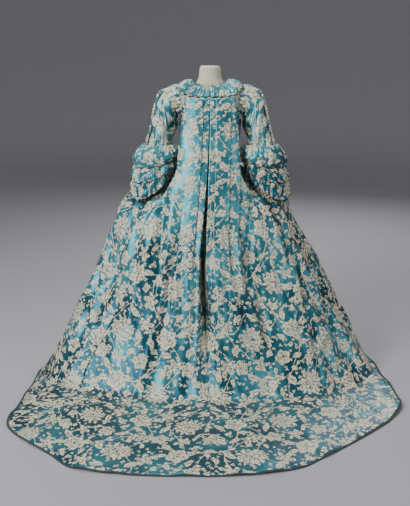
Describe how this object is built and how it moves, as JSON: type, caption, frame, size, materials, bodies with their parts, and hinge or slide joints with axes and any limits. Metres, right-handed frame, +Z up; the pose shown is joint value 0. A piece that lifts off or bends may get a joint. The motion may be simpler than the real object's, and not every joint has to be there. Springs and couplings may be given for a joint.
{
  "type": "sack-back gown, a robe a la francaise, on a limbless dress form",
  "caption": "Sack-back silk gown with stitched pleats, elbow flounces and a long train, standing on a limbless dress form.",
  "frame": {"origin": "centre of the stand base's underside, on the floor", "axes": "+Z up, +X to the wearer's left, -Y the way the gown faces, +Y towards the train"},
  "size_m": [1.7721, 1.5938, 1.5],
  "materials": {
    "silk": "figured silk satin, turquoise ground with ivory flowers",
    "silk_trim": "the same figured silk, gathered, with dark pinked edges",
    "hem_tape": "matt dark tape",
    "linen": "plain cream linen stretched over the form",
    "wood": "turned and varnished dark wood"
  },
  "bodies": {
    "root": {"back_left": "silk", "skirt_side_left": "silk", "skirt_front_left": "silk", "hem_tape_left": "hem_tape", "bodice_back_left": "silk", "bodice_front_left": "silk", "sleeve_left": "silk", "sleeve_strip_left": "silk_trim", "flounce_upper_left": "silk_trim", "flounce_middle_left": "silk_trim", "flounce_lower_left": "silk_trim", "back_right": "silk", "skirt_side_right": "silk", "skirt_front_right": "silk", "hem_tape_right": "hem_tape", "bodice_back_right": "silk", "bodice_front_right": "silk", "sleeve_right": "silk", "sleeve_strip_right": "silk_trim", "flounce_upper_right": "silk_trim", "flounce_middle_right": "silk_trim", "flounce_lower_right": "silk_trim", "neck_ruche": "silk_trim", "form_torso": "linen", "stand_pole": "wood", "stand_base": "wood"}
  },
  "joints": []
}
